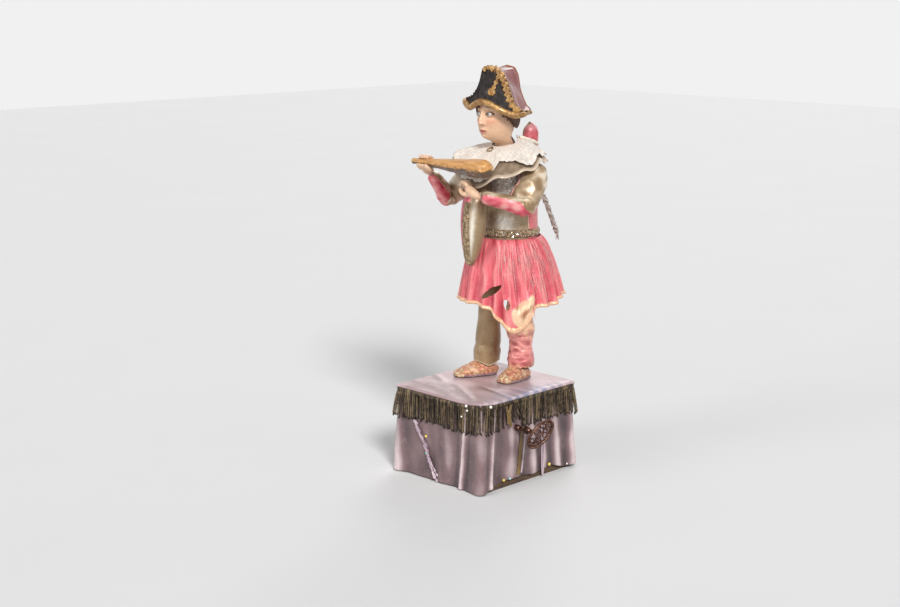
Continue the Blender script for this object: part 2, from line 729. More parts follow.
def make_train():
    second = wheel("second_arbor", PINION_TEETH, DRIVE_MODULE, PINION_PHASE, PINION_Y, PINION_Z,
                   DRIVE_GEAR_X, DRIVE_GEAR_WIDTH, "steel")
    join(second, shaft("second shaft", INNER_PLATE_X - MM, OUTER_PLATE_X + PLATE_THICK + MM / 2,
                       PINION_Y, PINION_Z, THIN_SHAFT, "steel", 12))
    join(second, wheel("second wheel", SECOND_TEETH, FAST_MODULE, 0, PINION_Y, PINION_Z,
                       FAST_GEAR_X, FAST_GEAR_WIDTH, "brass"))
    fly = wheel("fly", FLY_TEETH, FAST_MODULE, FLY_PHASE, FLY_Y, FLY_Z,
                FAST_GEAR_X, FAST_GEAR_WIDTH, "steel")
    join(fly, shaft("fly shaft", INNER_PLATE_X - MM, OUTER_PLATE_X + PLATE_THICK + MM / 2,
                    FLY_Y, FLY_Z, THIN_SHAFT, "steel", 12))
    blade_start = DRIVE_GEAR_X + 5 * MM
    join(fly, publish("fly blades", block(
        (blade_start, FLY_Y - FLY_SPAN, FLY_Z - FLY_BLADE / 2),
        (FAST_GEAR_X - 3 * MM, FLY_Y + FLY_SPAN, FLY_Z + FLY_BLADE / 2)), "brass"))


def cam_outline(largest, rise, lobes):
    outline = []
    for i in range(24):
        angle = TURN * i / 24
        wave = 0.5 + 0.5 * math.cos(lobes * angle)
        radius = largest - rise * (1 - wave)
        outline.append((CAM_Y + radius * math.cos(angle), CAM_Z + radius * math.sin(angle)))
    return outline


def make_cam_shaft():
    cams = shaft("cam_shaft", END_PLATE_X - MM / 2, OUTER_PLATE_X + PLATE_THICK + MM / 2,
                 CAM_Y, CAM_Z, CAM_SHAFT_RADIUS, "steel", 12)
    join(cams, wheel("cam gear", CAM_TEETH, DRIVE_MODULE, CAM_PHASE, CAM_Y, CAM_Z,
                     DRIVE_GEAR_X, DRIVE_GEAR_WIDTH, "brass"))
    back_reach = LEVER_Y - BACK_ROD_Y
    nod_share = NOD_CRANK / back_reach
    beat_share = ARM_CRANK / back_reach
    for name, lever_x, below, above, lobes in (
            ("right cam", lever_plate_x(RIGHT_ROD_X, -1), 0.0,
             RIGHT_LIFT * ARM_CRANK / (LEVER_Y - RIGHT_ROD_Y), 2),
            ("head cam", lever_plate_x(HEAD_ROD_X, 1), NOD_BACK * nod_share,
             NOD_FORWARD * nod_share, 3),
            ("left cam", lever_plate_x(LEFT_ROD_X, 1), LEFT_LIFT * beat_share,
             LEFT_DROP * beat_share, 4)):
        middle = lever_x + LEVER_THICK / 2
        outline = cam_outline(CAM_RADIUS - lever_drop(below), lever_drop(below + above), lobes)
        join(cams, publish(name, prism(outline, middle - CAM_WIDTH / 2, middle + CAM_WIDTH / 2),
                           "brass"))


def lever_plate_x(rod_x, side):
    """Start of the flat lever or crank that stands beside a rod's eye."""
    middle = rod_x + side * (ROD_OFFSET + LEVER_THICK / 2)
    return middle - LEVER_THICK / 2


def lever_drop(angle):
    return LEVER_REACH * math.sin(angle)


def lever_pin_z(rod_y):
    share = (LEVER_Y - rod_y) / LEVER_REACH
    return LEVER_Z + (NOSE_UNDER + NOSE_RADIUS - LEVER_Z) * share


def bar_outline(y1, z1, radius1, y2, z2, radius2):
    """A flat bar with two round ends."""
    heading = math.atan2(z2 - z1, y2 - y1)
    outline = []
    for i in range(7):
        angle = heading + math.pi / 2 + math.pi * i / 6
        outline.append((y1 + radius1 * math.cos(angle), z1 + radius1 * math.sin(angle)))
    for i in range(7):
        angle = heading - math.pi / 2 + math.pi * i / 6
        outline.append((y2 + radius2 * math.cos(angle), z2 + radius2 * math.sin(angle)))
    return outline


def pin_between(target, plate_x, side, rod_x, y, z):
    """The stud that carries a rod's eye, out of the side of a lever or a crank."""
    start = plate_x + LEVER_THICK / 2
    end = rod_x - side * (EYE_THICK / 2 + 0.5 * MM)
    join(target, shaft(f"{target.name} pin", min(start, end), max(start, end), y, z,
                       PIN_RADIUS, "steel", 10))


def make_levers():
    shaft("lever_shaft", END_PLATE_X - MM / 2, INNER_PLATE_X + PLATE_THICK + MM / 2,
          LEVER_Y, LEVER_Z, LEVER_SHAFT_RADIUS, "steel", 12)
    for name, rod_x, rod_y, side in (("right_arm_lever", RIGHT_ROD_X, RIGHT_ROD_Y, -1),
                                     ("head_lever", HEAD_ROD_X, BACK_ROD_Y, 1),
                                     ("left_arm_lever", LEFT_ROD_X, BACK_ROD_Y, 1)):
        x = lever_plate_x(rod_x, side)
        outline = bar_outline(LEVER_Y, LEVER_Z, LEVER_BOSS, CAM_Y, NOSE_UNDER + NOSE_RADIUS,
                              NOSE_RADIUS)
        lever = publish(name, prism(outline, x, x + LEVER_THICK), "brass", (x, LEVER_Y, LEVER_Z))
        pin_between(lever, x, side, rod_x, rod_y, lever_pin_z(rod_y))
        bore_x(lever, x - MM, x + LEVER_THICK + MM, LEVER_Y, LEVER_Z,
               LEVER_SHAFT_RADIUS + SHAFT_CLEARANCE, 12)


def make_rods():
    for name, x, y, top in (("right_arm_rod", RIGHT_ROD_X, RIGHT_ROD_Y, RIGHT_CRANK_Z),
                            ("head_rod", HEAD_ROD_X, BACK_ROD_Y, NECK_PIVOT_Z),
                            ("left_arm_rod", LEFT_ROD_X, BACK_ROD_Y, SHOULDER_Z)):
        low = lever_pin_z(y)
        reach = EYE_BORE + EYE_RIM / 2
        wire = cylinder((x, y, low + reach), (x, y, top - reach), ROD_RADIUS, 8)
        rod = publish(name, wire, "steel", (x, y, low))
        for number, height in enumerate((low, top)):
            join(rod, shaft(f"{name} eye {number}", x - EYE_THICK / 2, x + EYE_THICK / 2, y, height,
                            EYE_BORE + EYE_RIM, "steel", 10))
            bore_x(rod, x - EYE_THICK, x + EYE_THICK, y, height, EYE_BORE, 10)


def make_music():
    drum_end = CYLINDER_START + CYLINDER_LENGTH
    drum = shaft("music_cylinder", CYLINDER_START, drum_end, CYLINDER_Y, CYLINDER_Z,
                 CYLINDER_RADIUS, "brass", 18)
    join(drum, shaft("cylinder shaft", END_PLATE_X - MM / 2,
                     DRIVE_GEAR_X + DRIVE_GEAR_WIDTH + MM, CYLINDER_Y, CYLINDER_Z,
                     CAM_SHAFT_RADIUS, "steel", 12))
    join(drum, wheel("cylinder gear", CYLINDER_TEETH, DRIVE_MODULE, CYLINDER_PHASE, CYLINDER_Y,
                     CYLINDER_Z, DRIVE_GEAR_X, DRIVE_GEAR_WIDTH, "brass"))
    tip = CYLINDER_Y - CYLINDER_RADIUS - COMB_TIP_GAP
    back = tip - COMB_LENGTH
    root = tip - 14 * MM
    pitch = (CYLINDER_LENGTH - 4 * MM) / COMB_TEETH
    outline = []
    for k in range(COMB_TEETH):
        start = CYLINDER_START + 2 * MM + k * pitch
        outline += [(start, root), (start, tip), (start + 0.6 * pitch, tip), (start + 0.6 * pitch, root)]
    outline += [(outline[-1][0], back), (outline[0][0], back)]
    comb = bmesh.new()
    face = comb.faces.new([comb.verts.new((x, y, CYLINDER_Z - COMB_THICK / 2)) for x, y in outline])
    made = bmesh.ops.extrude_face_region(comb, geom=[face])
    lifted = [item for item in made["geom"] if isinstance(item, bmesh.types.BMVert)]
    bmesh.ops.translate(comb, verts=lifted, vec=(0, 0, COMB_THICK))
    publish("music_comb", comb, "steel")
    seat = CYLINDER_Z - COMB_THICK / 2 - GAP
    foot = 5 * MM
    bed = ((back, CASE_FLOOR), (root, CASE_FLOOR), (root, CASE_FLOOR + foot),
           (root - 5 * MM, CASE_FLOOR + foot + 2 * MM), (root - 5 * MM, seat - 4 * MM),
           (root - 2 * MM, seat), (back, seat))
    publish("comb_bed", prism(bed, outline[0][0], outline[-2][0]), "brass")


def make_stop_lever(lever_side):
    """A wire catch through the side away from the key, that lets the fly go."""
    y = FLY_Y
    z = FLY_Z - FLY_SPAN - 6 * MM
    start = -CASE_X / 2 - 9 * MM
    finger_x = DRIVE_GEAR_X + 8 * MM
    stop = shaft("stop_lever", start, FAST_GEAR_X - 12 * MM, y, z, 1.2 * MM, "steel", 8)
    join(stop, publish("stop finger", block(
        (finger_x, y - MM, z), (finger_x + 4 * MM, y + MM, FLY_Z - FLY_SPAN - 0.5 * MM)), "steel"))
    join(stop, publish("stop knob", cylinder((start - 5 * MM, y, z), (start + MM, y, z), 3 * MM, 12),
                       "steel"))
    bore_x(lever_side, -CASE_X / 2 - SIDE_BOARD, -CASE_X / 2 + 2 * SIDE_BOARD, y, z, 2 * MM, 10)
    for name in ("inner_plate", "end_plate"):
        metal = bpy.data.objects[name]
        x = INNER_PLATE_X if name == "inner_plate" else END_PLATE_X
        bore_x(metal, x - PLATE_THICK, x + 2 * PLATE_THICK, y, z, 1.7 * MM, 10)
    bore_x(bpy.data.objects["side_drape"], -CASE_X / 2 - 3 * SIDE_BOARD, -CASE_X / 2 + MM, y, z,
           4 * MM, 10)


# Legs

def round_ring(x, y, z, radius_x, radius_y, sides, wave=None):
    ring = []
    for i in range(sides):
        angle = TURN * i / sides
        swell = 0.0 if wave is None else wave(angle)
        ring.append(Vector((x + (radius_x + swell) * math.cos(angle),
                            y + (radius_y + swell) * math.sin(angle), z)))
    return ring


def make_leg(side, place, cuff_shift, hip_shift, creases):
    low = COVER_LOW
    high = TORSO_BOTTOM - GAP
    outer = [round_ring(place.x, place.y, z, LEG_TUBE_RADIUS, LEG_TUBE_RADIUS, 16)
             for z in (low, high)]
    bore = LEG_TUBE_RADIUS - LEG_TUBE_WALL
    inner = [round_ring(place.x, place.y, z, bore, bore, 16) for z in (high, low)]
    publish(f"{side}_leg_tube", loft(outer + inner, True), "steel")
    sides = 16
    rows = 8
    rings = []
    for k in range(rows):
        share = k / (rows - 1)
        z = TROUSER_BOTTOM + (TROUSER_TOP - TROUSER_BOTTOM) * share
        shift = cuff_shift.lerp(hip_shift, share)
        radius = (19.0 + 2.6 * share + 1.2 * math.sin(creases * share * math.pi)) * MM

        def crease(angle):
            return 0.9 * MM * math.sin(2 * angle + creases * 2.2 * share)
        rings.append(round_ring(place.x + shift.x, place.y + shift.y, z, radius, radius, sides,
                                crease))
    hole = LEG_TUBE_RADIUS + GAP
    rings.append(round_ring(place.x, place.y, TROUSER_TOP, hole, hole, sides))
    rings.append(round_ring(place.x, place.y, TROUSER_BOTTOM, hole, hole, sides))
    publish(f"{side}_trouser", loft(rings, True), "gold_satin" if side == "right" else "pink_satin",
            sharp=60)


def make_shoe(side, place, toe, heel):
    """A slipper from toe to heel, with the leg's tube through its ankle."""
    forward = (toe - heel)
    length = forward.length
    forward.normalize()
    across = Vector((-forward.y, forward.x, 0))
    profile = ((0.0, 6, 11, 6), (0.10, 12.5, 17, 2), (0.30, 16, 21, 0.5), (0.52, 16.5, 21, 0.5),
               (0.66, 15.5, 19, 0.5), (0.82, 14.5, 14, 0.5), (0.94, 11, 10, 1.5), (1.0, 5, 7, 3))
    rings = []
    for share, half, height, sole in profile:
        centre = heel + forward * length * share
        ring = []
        for i in range(12):
            angle = TURN * i / 12
            rise = math.sin(angle)
            z = SHOE_LOW + (sole * MM if rise < -0.5 else
                            (sole + (height - sole) * (rise + 0.5) / 1.5) * MM)
            spread = half * MM * math.cos(angle) * (1.0 if rise < 0.3 else 0.96)
            ring.append(Vector((centre.x, centre.y, z)) + across * spread)
        rings.append(ring)
    shoe = publish(f"{side}_shoe", loft(rings), "brocade", sharp=50)
    bore_z(shoe, place.x, place.y, SHOE_LOW - MM, SHOE_LOW + 40 * MM, LEG_TUBE_RADIUS + GAP, 16)


# Torso and costume

STAND_TOP = COLLAR_TOP - COLLAR_FRONT_DIP - CAPE_BELOW - COLLAR_THICK - 3 * GAP
STAND_RADIUS = 20.6 * MM

# Height, half-width, half-depth and middle in Y, up to the stand that carries the collars.
TORSO_LEVELS = (
    (TORSO_BOTTOM, 46.5 * MM, 42.0 * MM, BODY_Y), (352 * MM, 48.0 * MM, 44.0 * MM, BODY_Y),
    (375 * MM, 46.5 * MM, 43.5 * MM, BODY_Y), (402 * MM, 46.0 * MM, 43.5 * MM, BODY_Y),
    (430 * MM, 44.5 * MM, 43.0 * MM, BODY_Y), (454 * MM, 41.5 * MM, 42.0 * MM, BODY_Y),
    (482 * MM, 41.0 * MM, 39.0 * MM, BODY_Y), (494 * MM, 35.0 * MM, 32.0 * MM, 50 * MM),
    (500 * MM, 26.0 * MM, 24.0 * MM, 46 * MM), (STAND_TOP, STAND_RADIUS, STAND_RADIUS, NECK_Y),
)


def torso_mesh(spread):
    rings = []
    for k, (z, half_x, half_y, middle) in enumerate(TORSO_LEVELS):
        if k == 0:
            z -= spread
        if k == len(TORSO_LEVELS) - 1:
            z += spread
        x = NECK_X if middle == NECK_Y else BODY_X
        rings.append(round_ring(x, middle, z, half_x + spread, half_y + spread, 24))
    return loft(rings)


def make_torso():
    torso = publish("torso", torso_mesh(0), "gold_satin", sharp=60)
    right_plate = lever_plate_x(RIGHT_ROD_X, -1)
    left_plate = lever_plate_x(LEFT_ROD_X, 1)
    below = TORSO_BOTTOM - 5 * MM
    slot(torso, (right_plate - WELL_WALL, RIGHT_ROD_Y - 8 * MM, below),
         (RIGHT_ROD_X + 3.5 * MM, SHOULDER_Y + 5 * MM, SHOULDER_Z + 8 * MM))
    slot(torso, (HEAD_ROD_X - 4 * MM, NECK_Y - 6 * MM, below),
         (left_plate + LEVER_THICK + WELL_WALL, BACK_ROD_Y + 8 * MM, 515 * MM))
    bore_z(torso, NECK_X, NECK_Y, NECK_PIVOT_Z - 9 * MM, 515 * MM, NECK_RADIUS + 3 * MM, 20)
    bore_x(torso, right_plate - 20 * MM, right_plate, SHOULDER_Y, SHOULDER_Z,
           AXLE_RADIUS + SHAFT_CLEARANCE, 12)
    bore_x(torso, left_plate, left_plate + 20 * MM, SHOULDER_Y, SHOULDER_Z,
           AXLE_RADIUS + SHAFT_CLEARANCE, 12)
    bore_x(torso, NECK_X - 25 * MM, left_plate + 8 * MM, NECK_Y, NECK_PIVOT_Z,
           AXLE_RADIUS + SHAFT_CLEARANCE, 12)


def make_belly_pad():
    """The stuffed doublet front that runs down to a blunt point."""
    stations = ((-6 * MM, 4 * MM, 468 * MM, 10 * MM), (-7 * MM, -7 * MM, 452 * MM, 18 * MM),
                (-7 * MM, -17 * MM, 430 * MM, 21 * MM), (-7 * MM, -21 * MM, 405 * MM, 21.5 * MM),
                (-7 * MM, -24 * MM, 375 * MM, 18 * MM), (-7 * MM, -27 * MM, 350 * MM, 13.5 * MM),
                (-7 * MM, -28 * MM, 337 * MM, 9.5 * MM), (-7 * MM, -28 * MM, 332 * MM, 4 * MM))
    pad = publish("belly_pad", sweep(stations, 14, 2), "gold_satin", sharp=60)
    cut(pad, publish("belly cutter", torso_mesh(GAP), "steel"))
    return pad


def make_back_pad():
    """The stuffed hump behind the shoulders, drawn up to a rounded peak."""
    stations = ((-3 * MM, 88 * MM, 428 * MM, 8 * MM), (-3 * MM, 92 * MM, 440 * MM, 22 * MM),
                (-3 * MM, 93 * MM, 462 * MM, 26 * MM), (-3 * MM, 94 * MM, 484 * MM, 22 * MM),
                (-4 * MM, 99 * MM, 505 * MM, 14.5 * MM), (-4 * MM, 103 * MM, 525 * MM, 12.5 * MM),
                (-4 * MM, 104 * MM, 540 * MM, 10.5 * MM), (-4 * MM, 104 * MM, 547 * MM, 4 * MM))
    pad = publish("back_pad", sweep(stations, 12, 2, 0.72), "pink_satin", sharp=60)
    cut(pad, publish("back cutter", torso_mesh(GAP), "steel"))


def body_ring(z, spread, sides, wave=None):
    """A ring that follows the torso at a height, pushed out by a clearance."""
    for low, high in zip(TORSO_LEVELS, TORSO_LEVELS[1:]):
        if low[0] <= z <= high[0]:
            share = (z - low[0]) / (high[0] - low[0])
            half_x = low[1] + (high[1] - low[1]) * share
            half_y = low[2] + (high[2] - low[2]) * share
            return round_ring(BODY_X, BODY_Y, z, half_x + spread, half_y + spread, sides, wave)
    raise ValueError("height outside the torso")


def make_waist_band():
    low = SKIRT_TOP + 2 * MM
    high = low + 12 * MM
    inner = 0.8 * MM
    rings = [body_ring(low, inner, 24), body_ring(low + MM, inner + 2.6 * MM, 24),
             body_ring((low + high) / 2, inner + 3.2 * MM, 24),
             body_ring(high - MM, inner + 2.6 * MM, 24), body_ring(high, inner, 24)]
    publish("waist_band", loft(rings, True), "gilt_braid")


# How far the hem hangs below or above its even height, by degrees round the skirt.
HEM_LINE = ((-180, 0), (-147, 7), (-91, 4), (-70, 12), (-65, 21), (-59, 32), (-51, 41), (-44, 45),
            (-38, 43), (-34, 39), (-29, 27), (-25, 12), (-18, 5), (2, 5), (32, -3), (60, 0), (180, 0))


def skirt_dip(angle):
    """The torn front-left panel hangs lower than the rest of the hem."""
    turned = math.degrees(math.remainder(angle, TURN))
    for (low, drop_low), (high, drop_high) in zip(HEM_LINE, HEM_LINE[1:]):
        if low <= turned <= high:
            return (drop_low + (drop_high - drop_low) * (turned - low) / (high - low)) * MM
    return HEM_LINE[-1][1] * MM


def skirt_point(angle, share, inward):
    """A place on the skirt: share runs from the hem at 0 up to the waist at 1."""
    spread = (1 - share) ** 0.8
    radius = SKIRT_TOP_RADIUS + (SKIRT_HEM_RADIUS - SKIRT_TOP_RADIUS) * spread
    pleat = (0.8 + 2.4 * (1 - share)) * MM
    radius += pleat * math.sin(SKIRT_PLEATS * angle) + pleat * 0.5 * math.sin(7 * angle + 1)
    z = SKIRT_HEM + (SKIRT_TOP - SKIRT_HEM) * share - skirt_dip(angle) * (1 - share) ** 2
    swing = SKIRT_SWING * (1 - share)
    return Vector((BODY_X + swing + (radius - inward) * math.cos(angle),
                   BODY_Y + swing + (radius - inward) * math.sin(angle), z))


def make_skirt():
    sides = SKIRT_PLEATS * 3
    levels = (0.0, 0.28, 0.62, 1.0)
    rings = []
    for inward, order in ((0.0, levels), (SKIRT_THICK, tuple(reversed(levels)))):
        for share in order:
            rings.append([skirt_point(TURN * i / sides, share, inward) for i in range(sides)])
    publish("skirt", loft(rings, True), "pink_satin", sharp=60)


def collar_point(angle, radius, lower):
    """A place on a collar. Both collars lie on one fluted surface, one below the other."""
    front = max(0.0, -math.sin(angle)) ** 1.5
    share = (radius - COLLAR_INNER) / (LACE_RADIUS - COLLAR_INNER)
    behind = max(0.0, math.sin(angle))
    neck = COLLAR_TOP - COLLAR_FRONT_DIP * front + COLLAR_BACK_RISE * behind
    drop = COLLAR_SIDE_DROP + (COLLAR_FRONT_DROP - COLLAR_SIDE_DROP) * front
    drop += (COLLAR_BACK_DROP - COLLAR_SIDE_DROP) * behind ** 0.7
    wave = COLLAR_FLUTE * share ** 1.5 * math.sin(COLLAR_WAVES * angle + 0.6)
    z = neck - drop * share ** 1.4 + wave
    if lower:
        z -= CAPE_BELOW + CAPE_DROOP * share
    return Vector((NECK_X + radius * math.cos(angle),
                   NECK_Y - 5 * MM * share + radius * math.sin(angle), z))


def make_collar(name, colour, radius_out, lower):
    """An open ring of cloth round the neck, with its gap at the back."""
    steps = COLLAR_WAVES * 3
    start = math.radians(90) + COLLAR_BACK_GAP
    span = TURN - 2 * COLLAR_BACK_GAP
    width = radius_out - COLLAR_INNER
    radii = [COLLAR_INNER + width * share for share in (0.0, 0.35, 0.7, 1.0)]
    rings = []
    for k in range(steps + 1):
        angle = start + span * k / steps
        upper = [collar_point(angle, radius, lower) for radius in radii]
        under = [point - Vector((0, 0, COLLAR_THICK)) for point in reversed(upper)]
        rings.append(upper + under)
    publish(name, loft(rings), colour, sharp=60)


# Head, wig and hat

HEAD_LEVELS = (
    # height, middle in Y, half-width, front depth, back depth
    (487, 44, 12.0, 12.0, 12.0), (500, 44, 13.5, 13.5, 13.5), (514, 43, 14.0, 14.0, 14.0),
    (521, 41, 15.0, 17.0, 14.5), (526, 34, 17.5, 28.5, 15.5), (532, 30, 20.5, 33.0, 19.0),
    (539, 28, 23.2, 33.8, 25.0), (546, 27, 25.0, 33.4, 29.5), (553, 26.5, 26.2, 33.2, 32.5),
    (560, 26.5, 26.8, 32.9, 34.0), (566, 26.5, 27.0, 32.3, 34.8), (573, 26.5, 27.2, 33.1, 35.2),
    (581, 26.5, 27.2, 33.0, 35.2), (590, 26.5, 25.8, 31.0, 33.0), (598, 26.5, 22.0, 25.5, 28.0),
    (604, 26.5, 15.0, 17.0, 19.0), (607, 26.5, 6.0, 7.0, 8.0),
)
HEAD_SIDES = 26


def bump(value, centre, width):
    return math.exp(-((value - centre) / width) ** 2)


def face_relief(across, height):
    """How far the face stands out at a place across it (mm) and a height (mm)."""
    nose_share = min(1.0, max(0.0, (571 - height) / 17))
    nose = 9.5 * nose_share ** 1.2 * bump(across, 0, 3.6 + nose_share) if height > 551 else 0.0
    if height <= 551:
        nose = 9.5 * bump(height, 551, 2.2) * bump(across, 0, 4.6)
    brow = 1.4 * bump(height, 574, 4.0) * bump(abs(across), 9, 8)
    socket = -2.6 * bump(height, 566, 4.2) * bump(abs(across), 11, 5.5)
    cheek = 1.6 * bump(height, 555, 6) * bump(abs(across), 13, 6)
    lips = 2.0 * bump(height, 542, 2.6) * bump(across, 0, 6.5)
    mouth = -1.2 * bump(height, 537, 2.2) * bump(across, 0, 8)
    chin = 2.2 * bump(height, 530, 4.2) * bump(across, 0, 7.5)
    return nose + brow + socket + cheek + lips + mouth + chin


def head_ring(level, spread):
    height, middle, half, front, back = level
    ring = []
    for i in range(HEAD_SIDES):
        angle = TURN * i / HEAD_SIDES
        side = math.cos(angle)
        toward = math.sin(angle)
        depth = back if toward > 0 else front
        x = half * side
        y = depth * toward
        if toward < 0:
            y -= face_relief(x, height) * min(1.0, -toward * 1.8)
        reach = math.hypot(x, y)
        x += spread / MM * x / reach
        y += spread / MM * y / reach
        ring.append(Vector((HEAD_X + x * MM, (middle + y) * MM, height * MM)))
    return ring


def make_head():
    head = publish("head", loft([head_ring(level, 0) for level in HEAD_LEVELS]), "composition",
                   (HEAD_X, NECK_Y, NECK_PIVOT_Z), 60)
    for side, sign in (("right", -1), ("left", 1)):
        place = Vector((HEAD_X + sign * EYE_SPACING, EYE_Y, EYE_Z))
        socket = bmesh.new()
        bmesh.ops.create_uvsphere(socket, u_segments=10, v_segments=6, radius=EYE_RADIUS + GAP,
                                  matrix=Matrix.Translation(place))
        cut(head, publish(f"{side} socket", socket, "steel"))
        ball = bmesh.new()
        bmesh.ops.create_uvsphere(ball, u_segments=10, v_segments=6, radius=EYE_RADIUS,
                                  matrix=Matrix.Translation(place))
        publish(f"{side}_eye", ball, "glass_eye")
    bore_x(head, HEAD_X - 30 * MM, HEAD_X + 30 * MM, NECK_Y, NECK_PIVOT_Z, AXLE_RADIUS + 0.05 * MM,
           12)


def make_neck_axle():
    """The axle that the head nods on, with the crank that the head's rod pushes."""
    plate_x = lever_plate_x(HEAD_ROD_X, 1)
    start = NECK_X - 22 * MM
    end = lever_plate_x(LEFT_ROD_X, 1) + 7 * MM
    axle = shaft("neck_axle", start, end, NECK_Y, NECK_PIVOT_Z, AXLE_RADIUS - 0.25 * MM, "steel", 12)
    outline = bar_outline(NECK_Y, NECK_PIVOT_Z, 3.6 * MM, BACK_ROD_Y, NECK_PIVOT_Z, 2.4 * MM)
    join(axle, publish("neck crank", prism(outline, plate_x, plate_x + LEVER_THICK), "steel"))
    pin_between(axle, plate_x, 1, HEAD_ROD_X, BACK_ROD_Y, NECK_PIVOT_Z)


def crown_rings(spread, lowest):
    """Rings up the back and over the crown, outside the head by a clearance."""
    levels = [level for level in HEAD_LEVELS if level[0] >= 546]
    rings = []
    for share in (0.0, 0.35, 0.7, 0.9, 1.0):
        ring = []
        for i in range(HEAD_SIDES):
            angle = TURN * i / HEAD_SIDES
            low = lowest(angle)
            ring.append(head_point(angle, low + (606 - low) * share, levels, spread))
        rings.append(ring)
    for point in rings[-1]:
        point.z += spread
    return rings


def hair_line(angle):
    """Height of the hair's lower edge: under the hat in front, low on the nape behind."""
    return 582 - 36 * min(1.0, 1.5 * (0.5 + 0.5 * math.sin(angle)))


def make_wig():
    wig = publish("wig", loft(crown_rings(WIG_OUTER, hair_line)), "hair", sharp=60)
    levels = [level for level in HEAD_LEVELS if level[0] >= 514]
    cutter = [head_ring(level, WIG_INNER) for level in levels]
    for point in cutter[-1]:
        point.z += WIG_INNER
    cut(wig, publish("wig hollow", loft(cutter), "steel"))


def head_point(angle, height, levels, spread):
    for low, high in zip(levels, levels[1:]):
        if low[0] <= height <= high[0]:
            share = (height - low[0]) / (high[0] - low[0])
            level = [a + (b - a) * share for a, b in zip(low, high)]
            side = math.cos(angle)
            toward = math.sin(angle)
            depth = level[4] if toward > 0 else level[3] + 1.6
            x = level[2] * side
            y = depth * toward
            reach = math.hypot(x, y)
            grow = 1 + spread / MM / reach
            return Vector((HEAD_X + x * grow * MM, (level[1] + y * grow) * MM, height * MM))
    raise ValueError("height outside the head")


# The hat's lines along its length, from its right tip at -1 to its left tip at 1.
HAT_TOP_LINE = ((-1.0, 588), (-0.8, 590), (-0.62, 593), (-0.5, 599), (-0.4, 606), (-0.33, 616),
                (-0.27, 626), (-0.21, 634), (-0.1, 639), (0.05, 640), (0.2, 638), (0.34, 633),
                (0.45, 624), (0.52, 611), (0.62, 593), (0.78, 583), (1.0, 577))
HAT_FRONT_LINE = ((-1.0, 578), (-0.61, 571), (-0.45, 577), (-0.18, 581), (0.02, 580), (0.18, 575),
                  (0.38, 569), (0.54, 564), (0.77, 561), (0.95, 564), (1.0, 569))
HAT_BACK_LINE = ((-1.0, 578), (-0.5, 565), (0.0, 557), (0.5, 562), (1.0, 569))


def along(line, share):
    """Height at a share of a line given as (share, height) pairs."""
    for (low, low_height), (high, high_height) in zip(line, line[1:]):
        if low <= share <= high:
            return (low_height + (high_height - low_height) * (share - low) / (high - low)) * MM
    raise ValueError("share outside the line")


def hat_section(x):
    """One section across the hat, front to back: crown dome and two raised flaps."""
    share = x / HAT_HALF
    narrow = max(0.08, 1 - abs(share) ** 2.2) ** 0.62
    front = along(HAT_FRONT_LINE, share)
    back = along(HAT_BACK_LINE, share)
    top = max(along(HAT_TOP_LINE, share), max(front, back) + 7 * MM)
    section = []
    for i in range(14):
        angle = TURN * i / 14
        across = math.copysign(abs(math.cos(angle)) ** 0.75, math.cos(angle))
        y = across * narrow * (HAT_BACK if across > 0 else HAT_FRONT)
        low = front + (back - front) * (0.5 + 0.5 * across)
        rise = 0.5 + 0.5 * math.copysign(abs(math.sin(angle)) ** 0.7, math.sin(angle))
        place = Vector((x, y, low + (top - low) * rise))
        place.rotate(Matrix.Rotation(HAT_TURN, 3, 'Z'))
        section.append(place + Vector((HEAD_X, HAT_Y, 0)))
    return section


def make_hat():
    hat = publish("hat", loft([hat_section(HAT_HALF * share) for share, top in HAT_TOP_LINE]),
                  "felt", sharp=50)
    # The hollow goes on below the hat's own lower edge, all the way round the head.
    levels = [level for level in HEAD_LEVELS if level[0] >= 539]
    rings = [[head_point(TURN * i / HEAD_SIDES, 540, levels, WIG_OUTER + 2 * GAP)
              for i in range(HEAD_SIDES)]]
    rings += crown_rings(WIG_OUTER + 2 * GAP, hair_line)
    cut(hat, publish("hat hollow", loft(rings), "steel"))


# Arms

def make_arm(side, start_plane, shoulder, elbow, wrist, fuller):
    sign = -1 if side == "right" else 1
    upper = shoulder.lerp(elbow, 0.55)
    fore = elbow.lerp(wrist, 0.4)
    cap = shoulder + Vector((-sign * 16 * MM, 6 * MM, 3 * MM))
    stations = ((*cap, 15 * MM), (*shoulder, 18.5 * MM + fuller / 2), (*upper, 19 * MM + fuller),
                (*elbow, 14.5 * MM + fuller / 2), (*fore, 13 * MM), (*elbow.lerp(wrist, 0.9), 10 * MM), (*wrist, 9.5 * MM))
    sleeve = publish(f"{side}_sleeve", sweep(stations, 12, 2, 1.0, 0.03), "gold_satin",
                     (start_plane, SHOULDER_Y, SHOULDER_Z), 60)
    inner = start_plane - sign * 40 * MM
    low = min(start_plane, inner)
    high = max(start_plane, inner)
    slot(sleeve, (low, -20 * MM, 400 * MM), (high, 110 * MM, 540 * MM))
    bore_x(sleeve, min(start_plane, start_plane + sign * 12 * MM) - MM,
           max(start_plane, start_plane + sign * 12 * MM) + MM, SHOULDER_Y, SHOULDER_Z,
           AXLE_RADIUS + GAP, 12)


